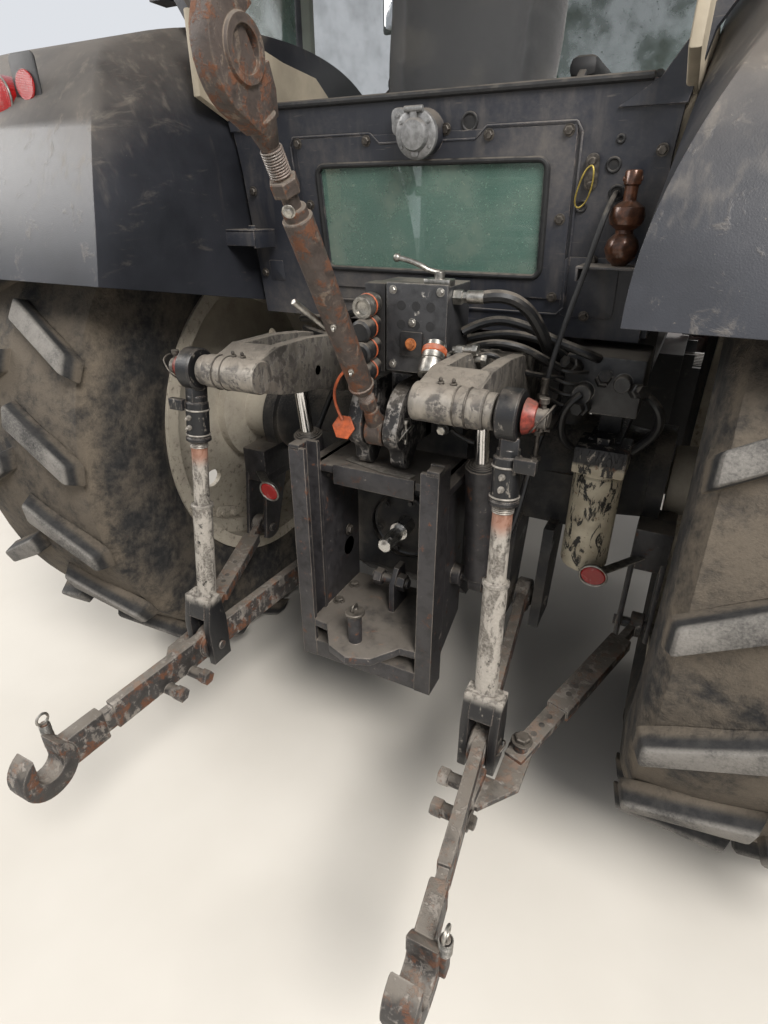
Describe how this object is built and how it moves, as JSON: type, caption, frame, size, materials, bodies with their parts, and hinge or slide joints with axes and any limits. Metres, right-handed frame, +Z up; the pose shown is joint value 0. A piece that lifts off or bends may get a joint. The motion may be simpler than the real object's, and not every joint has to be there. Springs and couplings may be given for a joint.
{
  "type": "four-wheel-drive farm tractor with cab and rear three-point linkage",
  "caption": "Farm tractor with a glazed cab, steered and driven front axle, tilting bonnet and a rear lift linkage with top link and power take-off.",
  "frame": {"origin": "on the ground under the middle of the whole tractor", "axes": "+X to the tractor's right, +Y to its front, +Z up"},
  "size_m": [2.3606, 4.8999, 2.81],
  "materials": {
    "black_casting": "satin",
    "black_plastic": "satin",
    "bright_steel": "satin",
    "cab_glass": "gloss",
    "cab_steel": "satin",
    "exhaust_steel": "matte",
    "filter_can": "satin",
    "interior_plastic": "matte",
    "lamp_lens": "gloss",
    "linkage_steel": "satin",
    "red_paint": "gloss",
    "rim_paint": "satin",
    "roof_plastic": "satin",
    "seat_cloth": "matte",
    "tyre_rubber": "matte"
  },
  "bodies": {
    "root": {"rear_axle_housing": "black_casting", "engine": "black_casting", "radiator": "black_casting", "front_frame": "black_casting", "front_axle": "black_casting", "front_drive_shaft": "linkage_steel", "fuel_tank_and_steps": "black_plastic", "battery_box_and_steps": "black_plastic", "exhaust_stack": "exhaust_steel", "cab_floor": "cab_steel", "cab_frame": "cab_steel", "cab_roof": "roof_plastic", "cab_rear_panel": "cab_steel", "cab_glass": "cab_glass", "fender_left": "black_plastic", "fender_right": "black_plastic", "seat": "seat_cloth", "dashboard": "interior_plastic", "side_console": "interior_plastic", "tail_lamps": "lamp_lens", "hitch_frame": "linkage_steel", "top_link_bracket": "linkage_steel", "remote_valves": "linkage_steel", "oil_filter": "filter_can"},
    "rear_wheel_left": {"rear_tyre_left": "tyre_rubber", "rear_rim_left": "rim_paint"},
    "rear_wheel_right": {"rear_tyre_right": "tyre_rubber", "rear_rim_right": "rim_paint"},
    "front_knuckle_left": {"front_knuckle_left": "black_casting"},
    "front_knuckle_right": {"front_knuckle_right": "black_casting"},
    "front_wheel_left": {"front_tyre_left": "tyre_rubber", "front_rim_left": "rim_paint"},
    "front_wheel_right": {"front_tyre_right": "tyre_rubber", "front_rim_right": "rim_paint"},
    "track_rod": {"track_rod": "linkage_steel"},
    "steering_rod": {"steering_rod": "bright_steel"},
    "steering_wheel": {"steering_wheel": "interior_plastic"},
    "door_left": {"door_left": "cab_steel", "door_glass_left": "cab_glass"},
    "door_right": {"door_right": "cab_steel", "door_glass_right": "cab_glass"},
    "rear_window": {"rear_window": "cab_glass"},
    "bonnet": {"bonnet": "red_paint"},
    "lift_arms": {"lift_arms": "linkage_steel"},
    "lower_link_left": {"lower_link_left": "linkage_steel"},
    "lower_link_right": {"lower_link_right": "linkage_steel"},
    "lift_rod_left": {"lift_rod_left": "linkage_steel"},
    "lift_rod_right": {"lift_rod_right": "linkage_steel"},
    "lift_cylinder_barrels": {"lift_cylinder_barrels": "linkage_steel"},
    "lift_cylinder_rods": {"lift_cylinder_rods": "bright_steel"},
    "top_link": {"top_link": "linkage_steel"},
    "pto_shaft": {"pto_shaft": "bright_steel"}
  },
  "joints": [
    {"name": "rear_wheel_left_spin", "type": "hinge", "parent": "root", "child": "rear_wheel_left", "pos_m": [-0.92, -1.16, 0.86], "axis": [-1, 0, 0], "continuous": true},
    {"name": "rear_wheel_right_spin", "type": "hinge", "parent": "root", "child": "rear_wheel_right", "pos_m": [0.92, -1.16, 0.86], "axis": [-1, 0, 0], "continuous": true},
    {"name": "steering", "type": "hinge", "parent": "root", "child": "front_knuckle_left", "pos_m": [-0.66, 1.49, 0.65], "axis": [0, 0, 1], "range_deg": [-42, 42]},
    {"name": "steering_right", "type": "hinge", "parent": "root", "child": "front_knuckle_right", "pos_m": [0.66, 1.49, 0.65], "axis": [0, 0, 1], "range_deg": [-42, 42]},
    {"name": "front_wheel_left_spin", "type": "hinge", "parent": "front_knuckle_left", "child": "front_wheel_left", "pos_m": [-0.93, 1.49, 0.65], "axis": [-1, 0, 0], "continuous": true},
    {"name": "front_wheel_right_spin", "type": "hinge", "parent": "front_knuckle_right", "child": "front_wheel_right", "pos_m": [0.93, 1.49, 0.65], "axis": [-1, 0, 0], "continuous": true},
    {"name": "track_rod_swing", "type": "hinge", "parent": "front_knuckle_left", "child": "track_rod", "pos_m": [-0.66, 1.32, 0.44], "axis": [0, 0, 1], "range_deg": [-42, 42]},
    {"name": "steering_rod_slide", "type": "slide", "parent": "root", "child": "steering_rod", "axis": [1, 0, 0], "range_m": [-0.1114, 0.1114]},
    {"name": "steering_wheel_turn", "type": "hinge", "parent": "root", "child": "steering_wheel", "pos_m": [0, -0.175, 1.745], "axis": [0, -0.5299, 0.848], "range_deg": [-546, 546]},
    {"name": "door_left_hinge", "type": "hinge", "parent": "root", "child": "door_left", "pos_m": [-0.65415, 0.18011, 1.85], "axis": [0, 0, -1], "range_deg": [0, 75]},
    {"name": "door_right_hinge", "type": "hinge", "parent": "root", "child": "door_right", "pos_m": [0.65415, 0.18011, 1.85], "axis": [0, 0, 1], "range_deg": [0, 75]},
    {"name": "rear_window_hinge", "type": "hinge", "parent": "root", "child": "rear_window", "pos_m": [0, -1.472, 2.56], "axis": [1, 0, 0], "range_deg": [-7, 68]},
    {"name": "bonnet_hinge", "type": "hinge", "parent": "root", "child": "bonnet", "pos_m": [0, 0.29, 1.66], "axis": [1, 0, 0], "range_deg": [0, 50]},
    {"name": "lift", "type": "hinge", "parent": "root", "child": "lift_arms", "pos_m": [0, -1.43, 1.14], "axis": [-1, 0, 0], "range_deg": [-20, 25]},
    {"name": "top_link_swing", "type": "hinge", "parent": "root", "child": "top_link", "pos_m": [0, -1.66, 1.054], "axis": [1, 0, 0], "range_deg": [-10, 62]},
    {"name": "pto_spin", "type": "hinge", "parent": "root", "child": "pto_shaft", "pos_m": [0, -1.56, 0.72], "axis": [0, 1, 0], "continuous": true},
    {"name": "lift_cylinder_swing", "type": "hinge", "parent": "root", "child": "lift_cylinder_barrels", "pos_m": [0, -1.55, 0.64], "axis": [-1, 0, 0], "range_deg": [-2.38, 2.98]},
    {"name": "lift_cylinder_stroke", "type": "slide", "parent": "lift_cylinder_barrels", "child": "lift_cylinder_rods", "axis": [0, -0.1498, 0.9887], "range_m": [-0.0661, 0.0826]},
    {"name": "lower_link_left_pivot", "type": "hinge", "parent": "root", "child": "lower_link_left", "pos_m": [-0.325, -1.36, 0.5], "axis": [-1, 0, 0], "range_deg": [-15.06, 18.82]},
    {"name": "lift_rod_left_pivot", "type": "hinge", "parent": "lift_arms", "child": "lift_rod_left", "pos_m": [-0.345, -1.85, 1.2], "axis": [-1, 0, 0], "range_deg": [-22.17, 17.74]},
    {"name": "lower_link_right_pivot", "type": "hinge", "parent": "root", "child": "lower_link_right", "pos_m": [0.325, -1.36, 0.5], "axis": [-1, 0, 0], "range_deg": [-15.06, 18.82]},
    {"name": "lift_rod_right_pivot", "type": "hinge", "parent": "lift_arms", "child": "lift_rod_right", "pos_m": [0.345, -1.85, 1.2], "axis": [-1, 0, 0], "range_deg": [-22.17, 17.74]}
  ],
  "couplings": [
    {"joint": "steering_right", "follows": "steering", "ratio": 1},
    {"joint": "track_rod_swing", "follows": "steering", "ratio": -1},
    {"joint": "steering_rod_slide", "follows": "steering", "m_per_rad": -0.152},
    {"joint": "steering_wheel_turn", "follows": "steering", "ratio": 13},
    {"joint": "lift_cylinder_swing", "follows": "lift", "ratio": 0.119},
    {"joint": "lift_cylinder_stroke", "follows": "lift", "m_per_rad": 0.1894},
    {"joint": "lower_link_left_pivot", "follows": "lift", "ratio": 0.7529},
    {"joint": "lift_rod_left_pivot", "follows": "lift", "ratio": -0.8868},
    {"joint": "lower_link_right_pivot", "follows": "lift", "ratio": 0.7529},
    {"joint": "lift_rod_right_pivot", "follows": "lift", "ratio": -0.8868}
  ]
}
